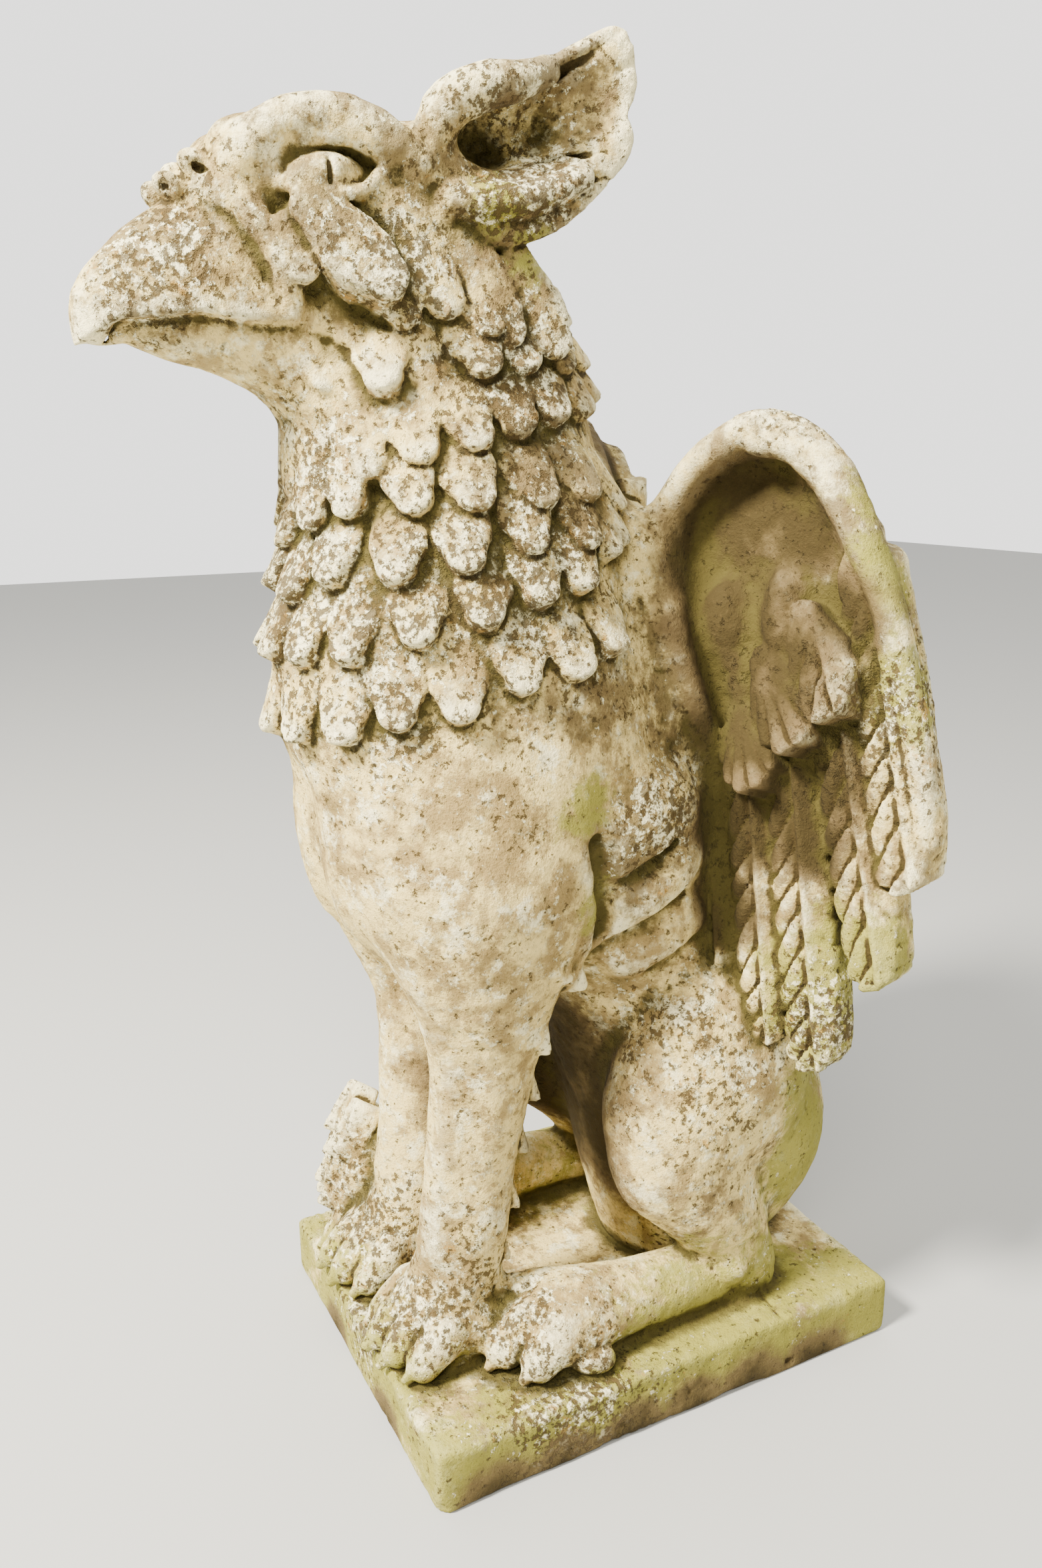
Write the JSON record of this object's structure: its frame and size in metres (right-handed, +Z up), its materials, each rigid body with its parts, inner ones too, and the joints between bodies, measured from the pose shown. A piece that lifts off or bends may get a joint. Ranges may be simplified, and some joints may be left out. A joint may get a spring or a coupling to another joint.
{
  "type": "garden statue",
  "caption": "Seated griffin with a hooked beak, upright ears, a bib of overlapping feathers and raised wings, cast in stone in one piece with a low rectangular slab.",
  "frame": {"origin": "middle of the slab's flat underside", "axes": "+Z up, the beak and breast towards -Y, the figure's left side towards +X"},
  "size_m": [0.4458, 0.4864, 0.8526],
  "materials": {
    "cast_stone": "weathered cast stone, matt and gritty, with pale, ochre and dark lichen and green algae low down"
  },
  "bodies": {
    "root": {"griffin_statue": "cast_stone"}
  },
  "joints": []
}
